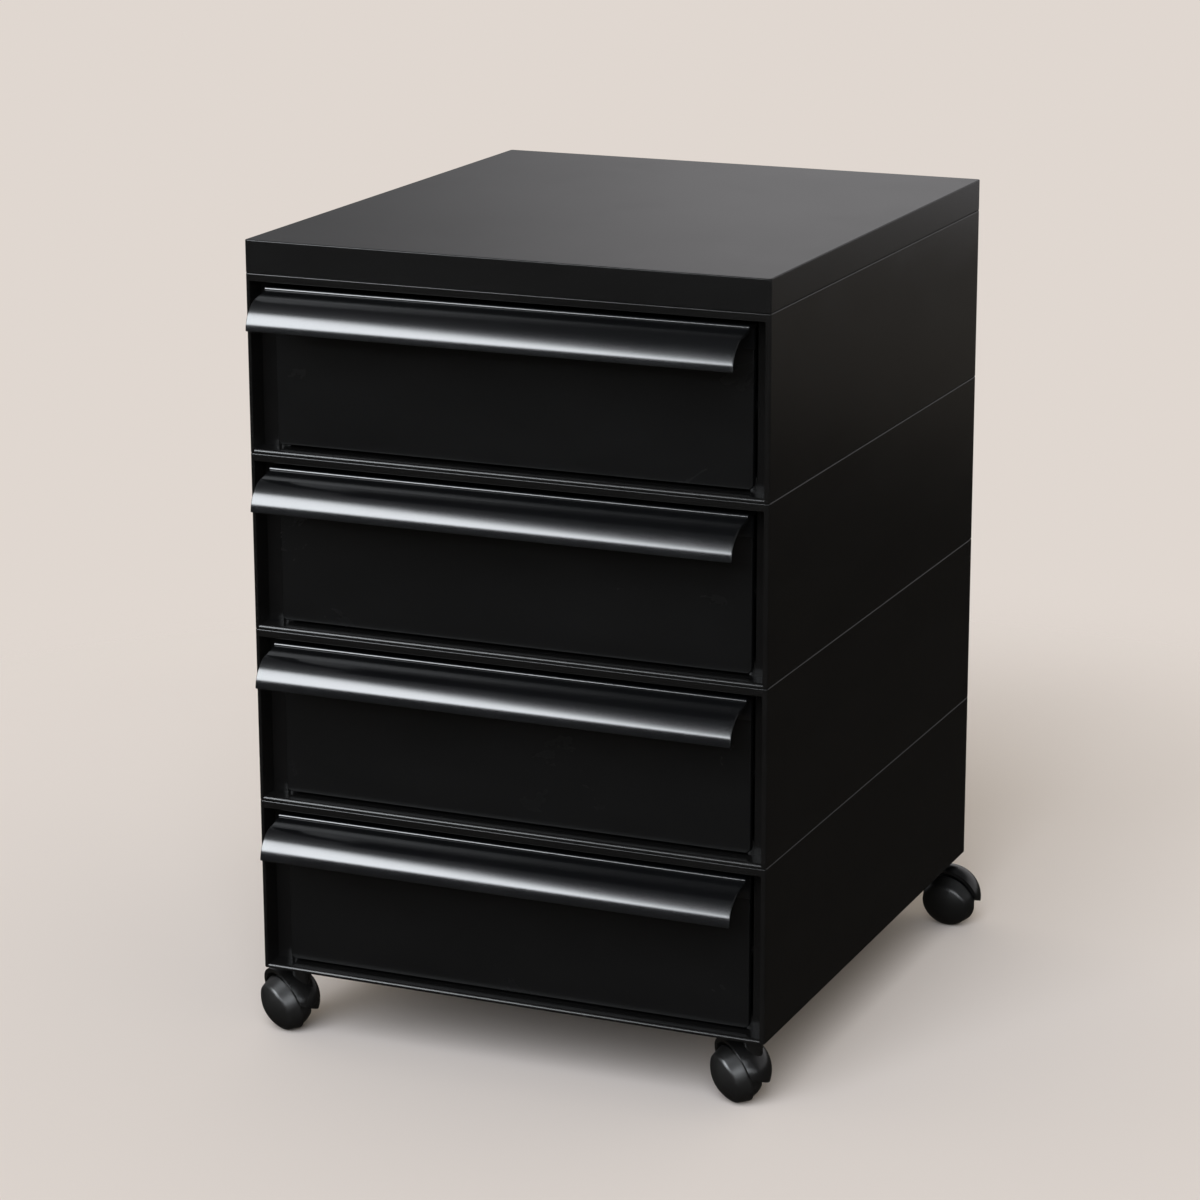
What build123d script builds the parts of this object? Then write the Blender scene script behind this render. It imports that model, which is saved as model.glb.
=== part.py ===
from build123d import *
import os
from math import cos, radians, sin, tan

os.makedirs("parts", exist_ok=True)

# Driving dimensions, in millimetres. The stack is described with X across, Y from the front plane
# towards the back, and Z up from the floor; it is centred on its own footprint when it is written.
width = 400.0
depth = 455.0
module_height = 131.5
module_count = 4
cover_height = 24.0
floor_gap = 57.0
wall = 3.5
corner_radius = 2.5
edge_radius = 0.8
overcut = 1.0

# Front of a case: thin edges, then an inset frame at each side of the drawer
lip_radius = 2.4
frame_setback = 17.0
frame_width = 11.5
frame_thickness = 3.0
rail_height = 5.8
rail_depth = 14.0
rail_thickness = 3.5

# Drawer
panel_side_gap = 1.5
panel_stand_out = 4.3
panel_thickness = 4.0
panel_bottom = 5.4
panel_radius = 4.0
panel_edge_radius = 0.9
tray_wall = 2.5
tray_underside = 15.0
tray_top_gap = 19.5
tray_back_gap = 11.5
travel = 290.0

# Runner: a rail on the case in a channel on the tray
runner_level = 62.0
runner_thickness = 4.0
runner_clearance = 0.3
runner_tip_gap = 1.0
bracket_height = 8.0
bracket_clearance = 1.8
channel_depth = 6.7
channel_lip = 2.5
channel_stop_length = 6.0
stop_clearance = 0.5
rest_width = 20.0
rest_length = 45.0
rest_place = 120.0

# Pull
pull_end_inset = 15.6
pull_thickness = 2.8
pull_gap = 3.4
pull_setback = 0.5
pull_step = 2.0
pull_step_radius = 1.6
pull_slope = 14.0
pull_slope_run = 14.0
pull_roll_radius = 22.5
pull_roll_angle = 74.0
pull_flange = 18.0
pull_boss_radius = 4.0
pull_boss_length = 5.0
pull_boss_floor = 1.0
pull_edge_radius = 0.6

# Screws of a pull
screw_count = 4
screw_pitch = 95.0
screw_radius = 2.0
screw_hole_clearance = 0.08
screw_tip_gap = 0.2
screw_head_radius = 3.8
screw_head_height = 2.2
screw_drop = 10.0
screw_socket_radius = 1.2
screw_socket_depth = 1.3

# Locating pins between the units
pin_radius = 2.5
pin_length = 16.0
pin_clearance = 0.05
pin_chamfer = 0.5
pin_inset_x = 9.0
pin_inset_y = 50.0
pin_boss_radius = 5.0
post_inset = 0.7
post_length = 16.0
post_height = 12.0

# Caster stem and its socket
stem_inset_x = 18.0
stem_panel_clearance = 0.6
stem_inset_back = 10.0
stem_radius = 4.0
stem_clearance = 0.05
stem_bottom = 41.4
stem_engagement = 11.5
stem_collar_radius = 6.0
stem_collar_height = 0.9
socket_wall = 0.9
socket_clearance = 0.05
socket_depth = 12.0
socket_flange_radius = 7.5
socket_flange_height = 1.2
socket_boss_radius = 7.3
socket_boss_height = 13.5
ring_level = 43.0
ring_height = 0.9
ring_radius = 4.7
ring_seat_radius = 3.4
ring_clearance = 0.1

# Ball caster: a domed wheel on a tilted axle under a round hood
axle_tilt = 18.0
wheel_radius = 22.5
wheel_axial_offset = 7.0
wheel_trail = 12.0
rim_start = -1.0
face_corner = 9.5
dome_rise = 7.0
shoulder_radius = 5.0
rim_edge_radius = 0.8
drum_radius = 20.8
drum_start = -11.0
axle_radius = 3.0
axle_clearance = 0.05
axle_tip = 10.0
axle_tail = -22.0
axle_end_gap = 0.4
axle_chamfer = 0.5
hood_radius = 26.0
hood_wall = 3.4
hood_rise = 3.0
hood_wrap = 0.5
hood_skirt = 21.9
hood_skirt_tilt = 24.0
hood_clearance = 0.8
hood_boss_radius = 7.4
hood_boss_bottom = 38.0
axle_boss_radius = 5.5
hood_gap = 0.3

# Where each caster's wheel faces, in degrees from +X. A right-hand caster's wheel trails to the left of
# its stem, seen from above along that heading, and a left-hand one's to the right.
caster_headings = {
    "front_left": 238.0,
    "front_right": 230.0,
    "back_left": 84.0,
    "back_right": 264.0,
}
left_hand_casters = ("front_left", "front_right")

# Places worked out from the sizes above
inner_half_width = width / 2 - wall
frame_inner = inner_half_width - frame_width
panel_half_width = frame_inner - panel_side_gap
panel_front = frame_setback - panel_stand_out
panel_back = panel_front + panel_thickness
rail_bottom = module_height - rail_height
pull_top = rail_bottom - pull_gap
panel_top = pull_top - pull_thickness
pull_length = width - 2 * pull_end_inset
tray_half_width = panel_half_width - channel_depth
tray_top = module_height - tray_top_gap
tray_back = depth - wall - tray_back_gap
channel_stop_start = tray_back - channel_stop_length
runner_end = channel_stop_start - travel - stop_clearance
pin_x = width / 2 - pin_inset_x
stem_x = width / 2 - stem_inset_x
stem_inset_front = panel_back + socket_boss_radius + stem_panel_clearance
stem_places = {
    "front_left": (-stem_x, stem_inset_front),
    "front_right": (stem_x, stem_inset_front),
    "back_left": (-stem_x, depth - stem_inset_back),
    "back_right": (stem_x, depth - stem_inset_back),
}
socket_radius = stem_radius + stem_clearance + socket_wall
stack_top = floor_gap + module_count * module_height
tilt = radians(axle_tilt)
wheel_height = wheel_radius * cos(tilt) + rim_start * sin(tilt)
stem_top = floor_gap + stem_engagement
socket_flange_bottom = floor_gap - socket_flange_height
hood_top = socket_flange_bottom - 2 * hood_gap - stem_collar_height


def block(x0, x1, y0, y1, z0, z1):
    """A box between two corners."""
    return Pos((x0 + x1) / 2, (y0 + y1) / 2, (z0 + z1) / 2) * Box(x1 - x0, y1 - y0, z1 - z0)


def post(x, y, z0, z1, radius):
    """An upright cylinder."""
    return Pos(x, y, (z0 + z1) / 2) * Cylinder(radius, z1 - z0)


def both_sides(solid):
    """The solid and its mirror image across the middle of the cabinet."""
    return solid + mirror(solid, Plane.YZ)


def rounded_shell(height):
    """The outer block of a case or of the cover, with its corners and rims rounded."""
    plan = RectangleRounded(width, depth, corner_radius)
    solid = Pos(0, depth / 2, 0) * extrude(plan, height)
    rims = solid.faces().sort_by(Axis.Z)
    return fillet(rims[0].edges() + rims[-1].edges(), edge_radius)


def pin_places():
    """The four locating pins of a level."""
    return [(side * pin_x, y) for side in (-1, 1) for y in (pin_inset_y, depth - pin_inset_y)]


def make_case():
    """One open-fronted, open-topped case, standing on Z = 0."""
    case = rounded_shell(module_height)
    case -= block(-inner_half_width, inner_half_width, -overcut, depth - wall, wall, module_height + overcut)
    front_lip = [e for e in case.edges().filter_by(Axis.X)
                 if abs(e.center().Y) < 0.01 and abs(e.center().Z - wall) < 0.01]
    case = fillet(front_lip, lip_radius)
    rail = block(-inner_half_width, inner_half_width, 0, rail_thickness, rail_bottom, module_height)
    rail = fillet(rail.edges().filter_by(Axis.X).group_by(Axis.Y)[0], edge_radius)
    shelf = block(-inner_half_width, inner_half_width, rail_thickness, rail_depth,
                  module_height - rail_thickness, module_height)
    case += [rail, shelf]
    frame_back = frame_setback + frame_thickness
    frame = block(frame_inner, inner_half_width, frame_setback, frame_back, wall, module_height)
    bracket_inner = panel_half_width - panel_side_gap + bracket_clearance
    bracket = block(bracket_inner, inner_half_width, frame_back, runner_end,
                    runner_level - bracket_height, runner_level + runner_thickness)
    runner = block(tray_half_width + runner_tip_gap, inner_half_width, frame_back, runner_end,
                   runner_level, runner_level + runner_thickness)
    pin_post = block(frame_inner + post_inset, inner_half_width, pin_inset_y - post_length / 2,
                     pin_inset_y + post_length / 2, module_height - post_height, module_height)
    back_post = mirror(pin_post, Plane((0, depth / 2, 0), z_dir=(0, 1, 0)))
    rest = block(rest_place, rest_place + rest_width, depth - wall - rest_length, depth - wall,
                 wall, tray_underside - runner_clearance)
    for fitting in (frame, bracket, runner, pin_post, back_post, rest):
        case += both_sides(fitting)
    pin_depth = pin_length / 2
    for x, y in pin_places():
        case += post(x, y, wall, pin_depth + wall, pin_boss_radius) & block(
            -inner_half_width, inner_half_width, 0, depth, 0, module_height)
        case -= post(x, y, -overcut, pin_depth, pin_radius + pin_clearance)
        case -= post(x, y, module_height - pin_depth, module_height + overcut, pin_radius + pin_clearance)
    for x, y in stem_places.values():
        case += post(x, y, wall, socket_boss_height, socket_boss_radius)
        case -= post(x, y, -overcut, socket_depth, socket_radius + socket_clearance)
    return case


def make_cover():
    """The top cover, hollow below, standing on Z = 0."""
    cover = rounded_shell(cover_height)
    cover -= block(-inner_half_width, inner_half_width, wall, depth - wall, -overcut, cover_height - wall)
    for x, y in pin_places():
        cover += post(x, y, 0, cover_height - wall, pin_boss_radius) & block(
            -inner_half_width, inner_half_width, 0, depth, 0, cover_height)
        cover -= post(x, y, -overcut, pin_length / 2, pin_radius + pin_clearance)
    return cover


def screw_places():
    """The screws of one pull, across the drawer."""
    return [(i - (screw_count - 1) / 2) * screw_pitch for i in range(screw_count)]


def along_y(x, z, y0, y1, radius):
    """A cylinder along Y."""
    return Pos(x, (y0 + y1) / 2, z) * Rot(90, 0, 0) * Cylinder(radius, y1 - y0)


def make_tray():
    """A drawer tray and its front panel, one moulding."""
    panel = Pos(0, panel_back, (panel_bottom + panel_top) / 2) * Rot(90, 0, 0) * extrude(
        RectangleRounded(2 * panel_half_width, panel_top - panel_bottom, panel_radius), panel_thickness)
    panel = fillet(panel.faces().sort_by(Axis.Y)[0].edges(), panel_edge_radius)
    tray = block(-tray_half_width, tray_half_width, panel_back - overcut, tray_back,
                 tray_underside, tray_top)
    tray -= block(-tray_half_width + tray_wall, tray_half_width - tray_wall, panel_back,
                  tray_back - tray_wall, tray_underside + tray_wall, tray_top + overcut)
    tray += panel
    lower_lip_top = runner_level - runner_clearance
    upper_lip_bottom = runner_level + runner_thickness + runner_clearance
    channel_outer = tray_half_width + channel_depth
    lower_lip = block(tray_half_width, channel_outer, panel_back, tray_back,
                      lower_lip_top - channel_lip, lower_lip_top)
    upper_lip = block(tray_half_width, channel_outer, panel_back, tray_back,
                      upper_lip_bottom, upper_lip_bottom + channel_lip)
    stop = block(tray_half_width, channel_outer, channel_stop_start, tray_back,
                 lower_lip_top, upper_lip_bottom)
    for fitting in (lower_lip, upper_lip, stop):
        tray += both_sides(fitting)
    for x in screw_places():
        tray -= along_y(x, pull_top - screw_drop, panel_front - overcut, panel_back + overcut,
                        screw_radius + screw_hole_clearance)
    return tray


def make_pull():
    """A curved pull: a flange on the panel, a shelf with a rounded step, a slope and a roll to its tip."""
    slope = radians(pull_slope)
    slope_start = (pull_setback, pull_top - pull_step)
    slope_end = (slope_start[0] - pull_slope_run * cos(slope), slope_start[1] - pull_slope_run * sin(slope))
    centre = (slope_end[0] + pull_roll_radius * sin(slope), slope_end[1] - pull_roll_radius * cos(slope))

    def on_roll(angle, radius):
        a = radians(pull_slope + angle)
        return (centre[0] - radius * sin(a), centre[1] + radius * cos(a))

    inner = pull_roll_radius - pull_thickness
    inner_back = (pull_step - pull_thickness * (1 - cos(slope))) / tan(slope)
    inner_shelf_end = (slope_start[0] + pull_thickness * sin(slope) + inner_back, pull_top - pull_thickness)
    flange_face = panel_front - pull_thickness
    outline = Polyline((panel_back, panel_top), (panel_back, pull_top), (pull_setback, pull_top),
                       slope_start, slope_end)
    outline += ThreePointArc(slope_end, on_roll(pull_roll_angle / 2, pull_roll_radius),
                             on_roll(pull_roll_angle, pull_roll_radius))
    outline += Line(on_roll(pull_roll_angle, pull_roll_radius), on_roll(pull_roll_angle, inner))
    outline += ThreePointArc(on_roll(pull_roll_angle, inner), on_roll(pull_roll_angle / 2, inner),
                             on_roll(0, inner))
    outline += Polyline(on_roll(0, inner), inner_shelf_end, (flange_face, panel_top),
                        (flange_face, pull_top - pull_flange), (panel_front, pull_top - pull_flange),
                        (panel_front, panel_top), (panel_back, panel_top))
    section = make_face(Plane.YZ * outline)
    pull = Pos(-pull_length / 2, 0, 0) * extrude(section, pull_length, dir=(1, 0, 0))
    step = [e for e in pull.edges().filter_by(Axis.X)
            if abs(e.center().Y - pull_setback) < 0.01 and abs(e.center().Z - pull_top) < 0.01]
    pull = fillet(step, pull_step_radius)
    tip = pull.edges().filter_by(Axis.X).sort_by(Axis.Z)[:4]
    tip = [e for e in tip if e.center().Y < slope_end[0]]
    pull = fillet(tip, pull_edge_radius)
    ends = [e for face in pull.faces().filter_by(Axis.X) for e in face.edges()
            if e.center().Y < slope_end[0]]
    pull = fillet(ends, pull_edge_radius)
    level = pull_top - screw_drop
    boss_end = flange_face - pull_boss_length
    for x in screw_places():
        pull += along_y(x, level, boss_end, flange_face, pull_boss_radius)
        pull -= along_y(x, level, boss_end + pull_boss_floor, panel_front,
                        screw_radius + screw_hole_clearance)
    return pull


def make_pull_screws():
    """The screws that hold one pull, driven from inside the drawer."""
    level = pull_top - screw_drop
    tip = panel_front - pull_thickness - pull_boss_length + pull_boss_floor + screw_tip_gap
    screws = []
    for x in screw_places():
        screw = along_y(x, level, tip, panel_back, screw_radius)
        head = along_y(x, level, panel_back, panel_back + screw_head_height, screw_head_radius)
        head = fillet(head.faces().sort_by(Axis.Y)[-1].edges(), edge_radius)
        screw += head
        screw -= along_y(x, level, panel_back + screw_head_height - screw_socket_depth,
                         panel_back + screw_head_height + overcut, screw_socket_radius)
        screws.append(screw)
    return screws


def make_socket(x, y):
    """The plastic sleeve that holds one caster's stem in the floor of the lowest case."""
    socket = post(x, y, floor_gap, floor_gap + socket_depth - socket_clearance, socket_radius)
    socket += post(x, y, socket_flange_bottom, floor_gap, socket_flange_radius)
    return socket - post(x, y, socket_flange_bottom - overcut, floor_gap + socket_depth + overcut,
                         stem_radius + stem_clearance)


def make_stem(x, y):
    """A caster's steel stem, with its collar and the groove of its snap ring."""
    stem = post(x, y, stem_bottom, stem_top, stem_radius)
    stem += post(x, y, hood_top + hood_gap, hood_top + hood_gap + stem_collar_height, stem_collar_radius)
    stem = chamfer(stem.faces().sort_by(Axis.Z)[-1].edges(), edge_radius)
    groove = post(x, y, ring_level, ring_level + ring_height, ring_radius)
    groove -= post(x, y, ring_level - overcut, ring_level + ring_height + overcut, ring_seat_radius)
    return stem - groove


def make_ring(x, y):
    """The snap ring in the groove of one stem."""
    low = ring_level + ring_clearance
    high = ring_level + ring_height - ring_clearance
    ring = post(x, y, low, high, ring_radius - ring_clearance)
    ring -= post(x, y, low - overcut, high + overcut, ring_seat_radius + ring_clearance / 2)
    slot = block(x, x + ring_radius, y - ring_seat_radius / 2, y + ring_seat_radius / 2, low, high)
    return ring - slot


def wheel_frame():
    """The wheel's own frame: its Z axis is the tilted axle, pointing out of the domed face."""
    return Plane(origin=(wheel_axial_offset, wheel_trail, wheel_height), x_dir=(0, 1, 0),
                 z_dir=(cos(tilt), 0, -sin(tilt)))


def cone_radius(place):
    """Radius of the tread, a cone that lies flat on the floor along its lowest line."""
    return wheel_radius - (place - rim_start) * tan(tilt)


def drum_edge(place):
    """Radius of the wheel's inner half, part of a ball about the wheel's own middle."""
    return (drum_radius ** 2 - place ** 2) ** 0.5


def make_wheel():
    """The domed wheel, along its own axle: a face, a tread and a rounded inner half inside the hood."""
    face_radius = cone_radius(face_corner)
    dome = (face_radius ** 2 + dome_rise ** 2) / (2 * dome_rise)
    middle = face_radius / 2
    pole = face_corner + dome_rise
    bore = axle_radius + axle_clearance
    bore_end = axle_tip + axle_end_gap
    arc_middle = (middle, pole - dome + (dome ** 2 - middle ** 2) ** 0.5)
    drum_middle = (drum_start + rim_start) / 2
    outline = Polyline((0, pole), (0, bore_end), (bore, bore_end), (bore, drum_start),
                       (drum_edge(drum_start), drum_start))
    outline += ThreePointArc((drum_edge(drum_start), drum_start), (drum_edge(drum_middle), drum_middle),
                             (drum_edge(rim_start), rim_start))
    outline += Polyline((drum_edge(rim_start), rim_start), (wheel_radius, rim_start),
                        (face_radius, face_corner))
    outline += ThreePointArc((face_radius, face_corner), arc_middle, (0, pole))
    section = make_face(Plane.XZ * outline)
    wheel = revolve(section, Axis.Z)
    shoulder = [e for e in wheel.edges().filter_by(GeomType.CIRCLE)
                if abs(e.radius - face_radius) < 0.01 and abs(e.center().Z - face_corner) < 0.01]
    wheel = fillet(shoulder, shoulder_radius)
    rim = [e for e in wheel.edges().filter_by(GeomType.CIRCLE) if abs(e.radius - wheel_radius) < 0.01]
    return fillet(rim, rim_edge_radius)


def make_axle():
    """The axle, along its own length."""
    axle = Pos(0, 0, (axle_tip + axle_tail) / 2) * Cylinder(axle_radius, axle_tip - axle_tail)
    return chamfer(axle.edges().filter_by(GeomType.CIRCLE), axle_chamfer)


def make_hood():
    """The hood: most of a ball, open where the wheel comes out, with the bosses of stem and axle inside."""
    frame = wheel_frame()
    centre = Pos(wheel_axial_offset, wheel_trail, wheel_height + hood_rise)
    shell = centre * Sphere(hood_radius)
    inside = centre * Sphere(hood_radius - hood_wall)
    reach = 2 * hood_radius
    axle_boss_end = drum_start - hood_clearance
    axle_boss = frame.location * Pos(0, 0, axle_boss_end - reach / 2) * Cylinder(axle_boss_radius, reach)
    stem_boss = post(0, 0, hood_boss_bottom, hood_top, hood_boss_radius)
    hood = (shell - inside) + (axle_boss & shell) + stem_boss
    face_cut = frame.location * Pos(0, 0, hood_wrap + reach) * Box(2 * reach, 2 * reach, 2 * reach)
    skirt_cut = Pos(0, 0, hood_skirt) * Rot(0, -hood_skirt_tilt, 0) * block(
        -2 * reach, 2 * reach, -reach, reach, -2 * reach, 0)
    tread_room = frame.location * Pos(0, 0, rim_start - hood_clearance + reach / 2) * Cylinder(
        wheel_radius + hood_clearance, reach)
    drum_room = frame.location * (Sphere(drum_radius + hood_clearance) & (
        Pos(0, 0, axle_boss_end + reach / 2) * Box(reach, reach, reach)))
    axle_hole = frame.location * Pos(0, 0, (axle_tail - axle_end_gap) / 2) * Cylinder(
        axle_radius + axle_clearance, -(axle_tail - axle_end_gap))
    stem_hole = post(0, 0, stem_bottom - axle_end_gap, hood_top + overcut, stem_radius + stem_clearance)
    ring_room = post(0, 0, ring_level, ring_level + ring_height, ring_radius)
    for cut in (face_cut, skirt_cut, tread_room, drum_room, axle_hole, stem_hole, ring_room):
        hood -= cut
    return max(hood.solids(), key=lambda s: s.volume)


# The nodes: name to solids
nodes = {"top_cover": [Pos(0, 0, stack_top) * make_cover()]}

case = make_case()
tray = make_tray()
pull = make_pull()
pull_screws = make_pull_screws()
for number in range(1, module_count + 1):
    lift = Pos(0, 0, stack_top - number * module_height)
    nodes[f"case_{number}"] = [lift * case]
    nodes[f"drawer_tray_{number}"] = [lift * tray]
    nodes[f"drawer_pull_{number}"] = [lift * pull]
    nodes[f"pull_screws_{number}"] = [lift * screw for screw in pull_screws]

pin_levels = [stack_top - i * module_height for i in range(module_count)]
nodes["locating_pins"] = [
    chamfer(post(x, y, z - pin_length / 2 + pin_clearance, z + pin_length / 2 - pin_clearance,
                 pin_radius).edges().filter_by(GeomType.CIRCLE), pin_chamfer)
    for z in pin_levels for x, y in pin_places()]

nodes["caster_sockets"] = [make_socket(x, y) for x, y in stem_places.values()]
nodes["stem_snap_rings"] = [make_ring(x, y) for x, y in stem_places.values()]

hood = make_hood()
axle = wheel_frame().location * make_axle()
wheel = wheel_frame().location * make_wheel()
for name, (x, y) in stem_places.items():
    place = Pos(x, y, 0) * Rot(0, 0, caster_headings[name])
    nodes[f"caster_stem_{name}"] = [make_stem(x, y)]
    for piece, solid in (("hood", hood), ("axle", axle), ("wheel", wheel)):
        handed = mirror(solid, Plane.XZ) if name in left_hand_casters else solid
        nodes[f"caster_{piece}_{name}"] = [place * handed]

# The origin: the floor under the middle of the whole object's footprint
boxes = [Compound(solids).bounding_box() for solids in nodes.values()]
middle_x = (min(b.min.X for b in boxes) + max(b.max.X for b in boxes)) / 2
middle_y = (min(b.min.Y for b in boxes) + max(b.max.Y for b in boxes)) / 2
to_origin = Pos(-middle_x, -middle_y, 0)

for name, solids in nodes.items():
    moved = [to_origin * solid for solid in solids]
    export_step(Compound(moved) if len(moved) > 1 else moved[0], f"parts/{name}.step")

print("front plane at Y", round(-middle_y, 4), "middle X", round(middle_x, 4))
print("stack top at Z", round(stack_top + cover_height, 4))
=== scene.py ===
from math import cos, pi, radians, sin

import bmesh
import bpy
from mathutils import Matrix, Vector


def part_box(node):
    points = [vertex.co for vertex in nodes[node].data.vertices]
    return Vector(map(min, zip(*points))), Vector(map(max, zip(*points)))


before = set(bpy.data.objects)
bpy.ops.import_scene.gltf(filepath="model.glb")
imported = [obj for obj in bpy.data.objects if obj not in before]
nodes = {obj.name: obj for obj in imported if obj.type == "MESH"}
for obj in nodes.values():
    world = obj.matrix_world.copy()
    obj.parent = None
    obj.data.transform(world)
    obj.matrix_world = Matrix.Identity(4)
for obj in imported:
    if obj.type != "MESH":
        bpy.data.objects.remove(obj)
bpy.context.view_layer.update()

# The front plane of the cases and the top of the cover, in metres
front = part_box("case_1")[0][1]
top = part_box("top_cover")[1][2]

CASTERS = ("front_left", "front_right", "back_left", "back_right")
DRAWERS = (1, 2, 3, 4)

# Colours, in linear light
BACKDROP = (0.745, 0.680, 0.631, 1)
FLOOR_LIGHT = (0.752, 0.686, 0.637, 1)
FLOOR_DEEP = (0.738, 0.674, 0.625, 1)
CASE_BLACK = (0.0050, 0.0048, 0.0047, 1)
CASE_LIGHTER = (0.0060, 0.0058, 0.0056, 1)
COVER_LIGHTER = (0.0056, 0.0055, 0.0054, 1)
PANEL_BLACK = (0.0048, 0.0048, 0.0048, 1)
PANEL_LIGHTER = (0.0054, 0.0054, 0.0054, 1)
PULL_BLACK = (0.0040, 0.0042, 0.0046, 1)
PULL_LIGHTER = (0.0050, 0.0052, 0.0056, 1)
HOOD_BLACK = (0.0060, 0.0060, 0.0062, 1)
HOOD_LIGHTER = (0.0075, 0.0074, 0.0072, 1)
WHEEL_BLACK = (0.0060, 0.0059, 0.0058, 1)
WHEEL_LIGHTER = (0.0090, 0.0088, 0.0085, 1)
INNER_GREY = (0.05, 0.05, 0.052, 1)
INNER_LIGHTER = (0.07, 0.07, 0.072, 1)
STEEL = (0.52, 0.52, 0.53, 1)
STEEL_DARKER = (0.40, 0.40, 0.41, 1)
SCREW_STEEL = (0.50, 0.50, 0.51, 1)
SCREW_DARKER = (0.36, 0.36, 0.37, 1)
SPRING_STEEL = (0.16, 0.16, 0.18, 1)
SPRING_DARKER = (0.08, 0.08, 0.10, 1)

# The moulded plastic's flow marks and smudges, and how much of the noise each one takes
FLOW_STRETCH = (1.0, 1.0, 3.0)
FLOW_SCALE = 9.0
FLOW_COLOUR_RANGE = (0.3, 0.75)
FLOW_GLOSS_RANGE = (0.25, 0.75)
SMUDGE_SCALE = 14.0
SMUDGE_RANGE = (0.50, 0.78)

# The steel's stains and its change of gloss along the lines
STAIN_SCALE = 160.0
STAIN_RANGE = (0.42, 0.72)
LINE_RANGE = (0.3, 0.7)
LINE_SMOOTHER = 0.08
LINE_ROUGHER = 0.1

# Camera, from the fit to the photo's edges: place from the middle of the front's top edge, in metres, angles
# in degrees, and focal length in pixels of the photo
CAMERA_X = 1.0992
CAMERA_Y = -2.3667
CAMERA_Z = 0.4729
CAMERA_YAW = 23.409
CAMERA_PITCH = -15.373
CAMERA_ROLL = -0.171
CAMERA_FOCAL = 3828.9
PHOTO_WIDTH = 1200
SENSOR_WIDTH = 36
CLIP_START = 0.05

# The softbox in reflections: its reach from left to right as the sine of the angle off the middle, the
# height of its top at either end and of its bottom, as an angle up from the front, and its soft edges
KEY_LEFT = -0.462
KEY_RIGHT = -0.310
KEY_TOP_LEFT = 62.0
KEY_TOP_RIGHT = 25.0
KEY_BOTTOM = 21.5
KEY_BOTTOM_SOFT = 1.5
KEY_TOP_SOFT = 5.0
KEY_SIDE = (-0.80, -0.62)
KEY_STRENGTH = 18.0
GLOW_STRENGTH = 2.4
GLOW_REACH = 12.0
ROOM = 0.06
TENT_LIGHT = (0.92, 0.96, 1.0, 1)

# A weak strip light to the right, that lights the upright edges and the casters
STRIP_ACROSS = (0.35, 0.75, 0.06)
STRIP_ARCH = (5.0, 60.0, 6.0)
STRIP_STRENGTH = 2.6

# The tent, and its opening behind the object, through which the top mirrors the backdrop. In degrees, SWEEP
# and BEHIND hold the lowest, highest and softness in height and across, and SWEEP_TURN is where the opening
# grows from the first share of SWEEP_OPEN to the second.
TENT_RADIUS = 6.0
TENT_SEGMENTS = 96
TENT_RINGS = 48
SWEEP = (-8.0, 32.0, 8.0)
BEHIND = (-80.0, 80.0, 8.0)
SWEEP_TURN = (-31.5, -18.5)
SWEEP_OPEN = (0.24, 0.69)
HAZE = 0.16
HAZE_COLOUR = (0.55, 0.85, 1.25, 1)

# The lamp that lights the floor: azimuth, elevation and angle in degrees, and its share of the floor's light
LAMP_AZIMUTH = 6.0
LAMP_ELEVATION = 40.0
LAMP_ANGLE = 50.0
LAMP_SHARE = 0.50
LAMP_COLOUR = (0.94, 1.0, 1.10)

# Soft fill from all round, that gives the rest of the floor's light
AMBIENT = 0.50
AMBIENT_COLOUR = (1.06, 1.0, 0.90, 1)

# The floor, in metres, and the shares of its radius between which it fades out
FLOOR_RADIUS = 1.3
FLOOR_SEGMENTS = 128
FLOOR_FADE = (0.62, 0.98)
FLOOR_MOTTLE_SCALE = 3.0

# The dark card over the floor: x and y range and height in metres, and its glow in front, beside and far
# behind the object
DARK_FLOOR = (-2.5, 3.0, -3.2, 3.6)
DARK_FLOOR_HEIGHT = 0.0005
DARK_FLOOR_LIGHT = (1.0, 0.90, 0.78, 1)
NEAR_GLOW_START_END = (-0.45, -0.15)
FRONT_GLOW = 0.05
SIDE_GLOW = 0.022
FAR_GLOW_START_END = (1.5, 2.5)
FAR_GLOW = 0.085


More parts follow.
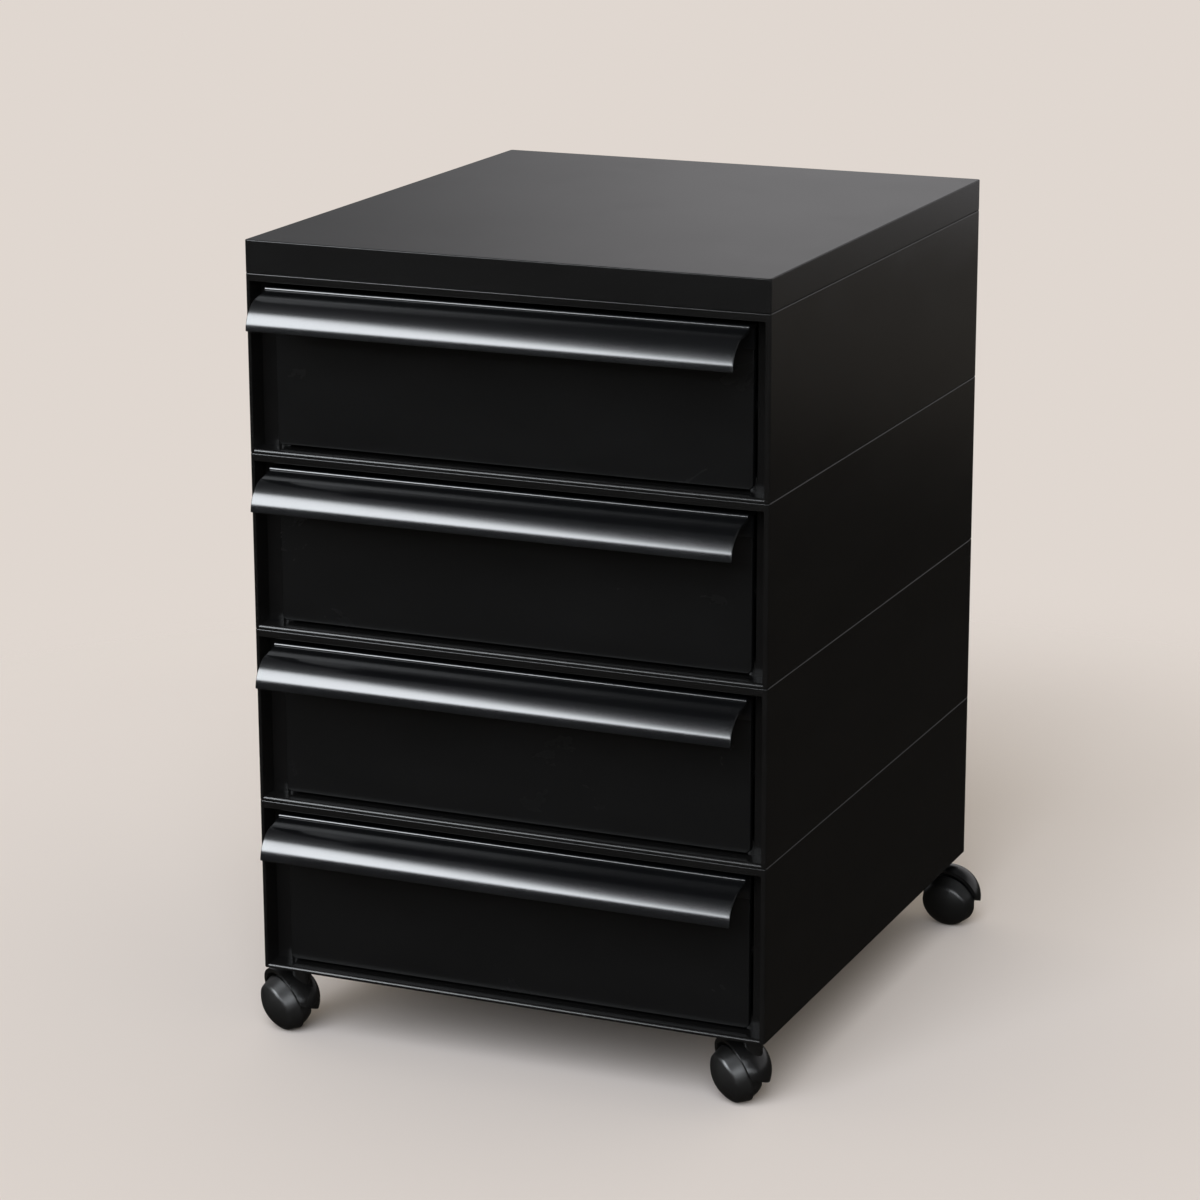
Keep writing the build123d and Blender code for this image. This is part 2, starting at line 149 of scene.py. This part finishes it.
class Graph:
    """Shorthand for building a node tree."""

    def __init__(self, tree):
        self.tree = tree
        tree.nodes.clear()

    def add(self, kind, inputs=None, **settings):
        node = self.tree.nodes.new(kind)
        for key, value in settings.items():
            setattr(node, key, value)
        for key, value in (inputs or {}).items():
            if isinstance(value, bpy.types.NodeSocket):
                self.tree.links.new(value, node.inputs[key])
            else:
                node.inputs[key].default_value = value
        return node

    def math(self, operation, a, b=0.0, clamp=False):
        return self.add("ShaderNodeMath", {0: a, 1: b}, operation=operation, use_clamp=clamp).outputs[0]

    def product(self, first, *others):
        """Several values multiplied together."""
        for other in others:
            first = self.math("MULTIPLY", first, other)
        return first

    def ramp(self, value, low, high, to_low=0.0, to_high=1.0, smooth=True):
        kind = "SMOOTHSTEP" if smooth else "LINEAR"
        return self.add("ShaderNodeMapRange", {0: value, 1: low, 2: high, 3: to_low, 4: to_high},
                        interpolation_type=kind).outputs[0]

    def window(self, value, low, high, soft):
        """1 between low and high, with soft edges."""
        rise = self.ramp(value, low - soft, low + soft)
        fall = self.ramp(value, high - soft, high + soft, 1.0, 0.0)
        return self.product(rise, fall)

    def blend(self, factor, a, b):
        """Colour a at factor 0 and b at factor 1."""
        node = self.add("ShaderNodeMix", {"Factor": factor, "A": a, "B": b}, data_type="RGBA")
        return node.outputs["Result"]

    def noise(self, vector, scale, detail=2.0, roughness=0.5, distortion=0.0):
        inputs = {"Vector": vector, "Scale": scale, "Detail": detail, "Roughness": roughness,
                  "Distortion": distortion}
        return self.add("ShaderNodeTexNoise", inputs).outputs["Fac"]

    def here(self):
        """Object coordinates."""
        return self.add("ShaderNodeTexCoord").outputs["Object"]

    def stretched(self, scale):
        """Object coordinates, scaled."""
        return self.add("ShaderNodeMapping", {"Vector": self.here(), "Scale": scale}).outputs[0]


def new_material(name):
    material = bpy.data.materials.new(name)
    material.use_nodes = True
    return material, Graph(material.node_tree)


def finish_material(g, inputs, height, depth):
    """Adds the bump, the shader and the output."""
    bump = g.add("ShaderNodeBump", {"Height": height, "Distance": depth, "Strength": 1.0})
    shader = g.add("ShaderNodeBsdfPrincipled", {**inputs, "Normal": bump.outputs[0]})
    g.add("ShaderNodeOutputMaterial", {"Surface": shader.outputs[0]})


def moulded_plastic(name, colour, lighter, roughness, spread, grain, depth, ior, smudges=0.04):
    """Black moulded plastic: a fine grain, faint flow marks and smudges that change its gloss."""
    material, g = new_material(name)
    where = g.stretched((1, 1, 1))
    fine = g.noise(where, grain, detail=2.0, roughness=0.6)
    flow = g.noise(g.stretched(FLOW_STRETCH), FLOW_SCALE, detail=4.0, roughness=0.55, distortion=0.4)
    blotch = g.noise(where, SMUDGE_SCALE, detail=5.0, roughness=0.62, distortion=0.8)
    smudge = g.ramp(blotch, *SMUDGE_RANGE)
    base = g.blend(g.ramp(flow, *FLOW_COLOUR_RANGE), colour, lighter)
    level = g.ramp(flow, *FLOW_GLOSS_RANGE, roughness - spread, roughness + spread, smooth=False)
    level = g.math("ADD", level, g.product(smudge, smudges))
    finish_material(g, {"Base Color": base, "Roughness": level, "IOR": ior}, fine, depth)
    return material


def metal(name, colour, darker, roughness, along, depth):
    """Turned or plated steel, with fine lines along one direction."""
    material, g = new_material(name)
    lines = g.noise(g.stretched(along), 1.0, detail=3.0, roughness=0.6)
    stain = g.noise(g.stretched((1, 1, 1)), STAIN_SCALE, detail=4.0, roughness=0.6)
    base = g.blend(g.ramp(stain, *STAIN_RANGE), colour, darker)
    level = g.ramp(lines, *LINE_RANGE, roughness - LINE_SMOOTHER, roughness + LINE_ROUGHER, smooth=False)
    finish_material(g, {"Base Color": base, "Roughness": level, "Metallic": 1.0}, lines, depth)
    return material


def use(material, *names):
    """Gives CAD nodes a material."""
    for name in names:
        for slot in nodes[name].material_slots:
            slot.material = material


def make_materials():
    """Makes every finish and gives it to its nodes. Depths are in metres."""
    case = moulded_plastic("case_plastic", CASE_BLACK, CASE_LIGHTER, roughness=0.20, spread=0.015,
                           grain=1900.0, depth=0.000012, ior=1.31)
    use(case, *[f"case_{n}" for n in DRAWERS])
    cover = moulded_plastic("cover_plastic", CASE_BLACK, COVER_LIGHTER, roughness=0.24, spread=0.01,
                            grain=1900.0, depth=0.000008, ior=1.30, smudges=0.012)
    use(cover, "top_cover")
    panel = moulded_plastic("panel_plastic", PANEL_BLACK, PANEL_LIGHTER, roughness=0.25, spread=0.015,
                            grain=2200.0, depth=0.000014, ior=1.25)
    use(panel, *[f"drawer_tray_{n}" for n in DRAWERS])
    pull = moulded_plastic("pull_plastic", PULL_BLACK, PULL_LIGHTER, roughness=0.16, spread=0.015,
                           grain=700.0, depth=0.000005, ior=1.50, smudges=0.03)
    use(pull, *[f"drawer_pull_{n}" for n in DRAWERS])
    hood = moulded_plastic("hood_plastic", HOOD_BLACK, HOOD_LIGHTER, roughness=0.24, spread=0.03,
                           grain=1200.0, depth=0.000010, ior=1.45)
    use(hood, *[f"caster_hood_{c}" for c in CASTERS])
    wheel = moulded_plastic("wheel_plastic", WHEEL_BLACK, WHEEL_LIGHTER, roughness=0.34, spread=0.04,
                            grain=900.0, depth=0.000016, ior=1.45, smudges=0.10)
    use(wheel, *[f"caster_wheel_{c}" for c in CASTERS])
    inner = moulded_plastic("inner_plastic", INNER_GREY, INNER_LIGHTER, roughness=0.45, spread=0.04,
                            grain=1600.0, depth=0.000015, ior=1.45)
    use(inner, "locating_pins", "caster_sockets")
    stem = metal("stem_steel", STEEL, STEEL_DARKER, roughness=0.28, along=(60.0, 60.0, 5200.0),
                 depth=0.000004)
    use(stem, *[f"caster_stem_{c}" for c in CASTERS], *[f"caster_axle_{c}" for c in CASTERS])
    screw = metal("screw_steel", SCREW_STEEL, SCREW_DARKER, roughness=0.32, along=(2400.0, 2400.0, 2400.0),
                  depth=0.000005)
    use(screw, *[f"pull_screws_{n}" for n in DRAWERS])
    spring = metal("spring_steel", SPRING_STEEL, SPRING_DARKER, roughness=0.35,
                   along=(3000.0, 3000.0, 3000.0), depth=0.000003)
    use(spring, "stem_snap_rings")


def new_object(name, mesh):
    thing = bpy.data.objects.new(name, mesh)
    bpy.context.scene.collection.objects.link(thing)
    return thing


def make_floor():
    """A pale floor that fades out at its rim into the backdrop's colour."""
    mesh = bpy.data.meshes.new("floor")
    shape = bmesh.new()
    bmesh.ops.create_circle(shape, cap_ends=True, radius=FLOOR_RADIUS, segments=FLOOR_SEGMENTS)
    shape.to_mesh(mesh)
    shape.free()
    material, g = new_material("floor")
    where = g.here()
    reach = g.add("ShaderNodeVectorMath", {0: where}, operation="LENGTH").outputs["Value"]
    fade = g.ramp(reach, *[share * FLOOR_RADIUS for share in FLOOR_FADE])
    mottle = g.noise(where, FLOOR_MOTTLE_SCALE, detail=3.0)
    paint = g.add("ShaderNodeBsdfDiffuse", {"Color": g.blend(mottle, FLOOR_LIGHT, FLOOR_DEEP)})
    clear = g.add("ShaderNodeBsdfTransparent")
    mix = g.add("ShaderNodeMixShader", {0: fade, 1: paint.outputs[0], 2: clear.outputs[0]})
    g.add("ShaderNodeOutputMaterial", {"Surface": mix.outputs[0]})
    mesh.materials.append(material)
    new_object("floor", mesh)


def only_reflected(card):
    """Makes a stage card that only reflections see."""
    card.visible_camera = False
    card.visible_diffuse = False
    card.visible_shadow = False
    card.visible_transmission = False


def make_dark_floor():
    """A dark card just over the floor, for the black sides of the object to mirror."""
    mesh = bpy.data.meshes.new("dark_floor")
    x0, x1, y0, y1 = DARK_FLOOR
    mesh.from_pydata([(x0, y0, 0), (x1, y0, 0), (x1, y1, 0), (x0, y1, 0)], [], [(0, 1, 2, 3)])
    card = new_object("dark_floor", mesh)
    card.location.z = DARK_FLOOR_HEIGHT
    material, g = new_material("dark_floor")
    place = g.add("ShaderNodeSeparateXYZ", {0: g.here()}).outputs
    near = g.ramp(place["Y"], *NEAR_GLOW_START_END, FRONT_GLOW, SIDE_GLOW)
    far = g.ramp(place["Y"], *FAR_GLOW_START_END, 0.0, FAR_GLOW)
    light = g.add("ShaderNodeEmission", {"Color": DARK_FLOOR_LIGHT, "Strength": g.math("ADD", near, far)})
    g.add("ShaderNodeOutputMaterial", {"Surface": light.outputs[0]})
    mesh.materials.append(material)
    only_reflected(card)


def tent_light(g, x, arch):
    """The strength of the tent's light: softbox, the glow over it, strip light and dark room."""
    upper_edge = g.ramp(x, KEY_LEFT, KEY_RIGHT, radians(KEY_TOP_LEFT), radians(KEY_TOP_RIGHT), smooth=False)
    over = g.math("SUBTRACT", arch, upper_edge)
    lower = g.ramp(arch, radians(KEY_BOTTOM - KEY_BOTTOM_SOFT), radians(KEY_BOTTOM + KEY_BOTTOM_SOFT))
    upper = g.ramp(over, radians(-KEY_TOP_SOFT), radians(KEY_TOP_SOFT), 1.0, 0.0)
    side = g.ramp(x, *KEY_SIDE)
    key = g.product(lower, upper, side, KEY_STRENGTH)
    fade = g.math("EXPONENT", g.math("DIVIDE", g.math("MAXIMUM", over, 0.0), -radians(GLOW_REACH)))
    glow = g.product(fade, lower, side, GLOW_STRENGTH)
    strip = g.product(g.window(x, *STRIP_ACROSS), g.window(arch, *map(radians, STRIP_ARCH)), STRIP_STRENGTH)
    return g.math("ADD", g.math("ADD", key, glow), g.math("ADD", strip, ROOM))


def tent_opening(g, x, y, z):
    """The share of the tent that is open: a band behind the object, more so towards the middle."""
    level = g.window(g.math("ARCSINE", z), *map(radians, SWEEP))
    around = g.math("ARCTAN2", x, y)
    behind = g.window(around, *map(radians, BEHIND))
    return g.product(level, g.ramp(around, *map(radians, SWEEP_TURN), *SWEEP_OPEN), behind)


def make_tent():
    """A dark tent for reflections, with a softbox up to the left, and the backdrop showing behind."""
    mesh = bpy.data.meshes.new("tent")
    shape = bmesh.new()
    bmesh.ops.create_uvsphere(shape, u_segments=TENT_SEGMENTS, v_segments=TENT_RINGS, radius=TENT_RADIUS)
    for face in shape.faces:
        face.smooth = True
    shape.to_mesh(mesh)
    shape.free()
    material, g = new_material("tent")
    direction = g.add("ShaderNodeVectorMath", {0: g.here()}, operation="NORMALIZE").outputs[0]
    x, y, z = g.add("ShaderNodeSeparateXYZ", {0: direction}).outputs
    arch = g.math("ARCTAN2", z, g.product(y, -1.0))
    open_part = tent_opening(g, x, y, z)
    glowing = g.add("ShaderNodeEmission", {"Color": TENT_LIGHT, "Strength": tent_light(g, x, arch)})
    clear = g.add("ShaderNodeBsdfTransparent")
    mix = g.add("ShaderNodeMixShader", {0: open_part, 1: glowing.outputs[0], 2: clear.outputs[0]})
    haze = g.add("ShaderNodeEmission", {"Color": HAZE_COLOUR, "Strength": g.product(open_part, HAZE)})
    both = g.add("ShaderNodeAddShader", {0: mix.outputs[0], 1: haze.outputs[0]})
    g.add("ShaderNodeOutputMaterial", {"Surface": both.outputs[0]})
    mesh.materials.append(material)
    only_reflected(new_object("tent", mesh))


def make_world():
    """The pale backdrop to the camera and in reflections, and a soft warm fill."""
    world = bpy.data.worlds.new("studio")
    bpy.context.scene.world = world
    world.use_nodes = True
    g = Graph(world.node_tree)
    ray = g.add("ShaderNodeLightPath").outputs
    ambient = g.add("ShaderNodeBackground", {"Color": AMBIENT_COLOUR, "Strength": AMBIENT})
    backdrop = g.add("ShaderNodeBackground", {"Color": BACKDROP, "Strength": 1.0})
    seen = g.math("ADD", ray["Is Camera Ray"], ray["Is Transmission Ray"])
    seen = g.math("ADD", seen, ray["Is Glossy Ray"], clamp=True)
    final = g.add("ShaderNodeMixShader", {0: seen, 1: ambient.outputs[0], 2: backdrop.outputs[0]})
    g.add("ShaderNodeOutputWorld", {"Surface": final.outputs[0]})


def make_lamp():
    """A soft lamp that lights the floor and casts the shadow."""
    lamp = bpy.data.lights.new("lamp", "SUN")
    azimuth, elevation = radians(LAMP_AZIMUTH), radians(LAMP_ELEVATION)
    lamp.energy = LAMP_SHARE * pi / sin(elevation)
    lamp.color = LAMP_COLOUR
    lamp.angle = radians(LAMP_ANGLE)
    sun = new_object("lamp", lamp)
    towards = Vector((sin(azimuth) * cos(elevation), -cos(azimuth) * cos(elevation), sin(elevation)))
    sun.rotation_mode = "QUATERNION"
    sun.rotation_quaternion = towards.to_track_quat("Z", "Y")
    sun.visible_glossy = False


def make_camera():
    """The photo's view."""
    yaw, pitch, roll = radians(CAMERA_YAW), radians(CAMERA_PITCH), radians(CAMERA_ROLL)
    ahead = Vector((-sin(yaw) * cos(pitch), cos(yaw) * cos(pitch), sin(pitch)))
    right = Vector((cos(yaw), sin(yaw), 0))
    up = right.cross(ahead)
    right, up = right * cos(roll) + up * sin(roll), up * cos(roll) - right * sin(roll)
    data = bpy.data.cameras.new("camera")
    data.sensor_width = SENSOR_WIDTH
    data.lens = CAMERA_FOCAL / PHOTO_WIDTH * SENSOR_WIDTH
    data.clip_start = CLIP_START
    camera = new_object("camera", data)
    place = Matrix((right, up, -ahead)).transposed().to_4x4()
    place.translation = Vector((CAMERA_X, front + CAMERA_Y, top + CAMERA_Z))
    camera.matrix_world = place
    bpy.context.scene.camera = camera


make_materials()
make_floor()
make_dark_floor()
make_tent()
make_world()
make_lamp()
make_camera()

bpy.context.scene.view_settings.view_transform = "Standard"
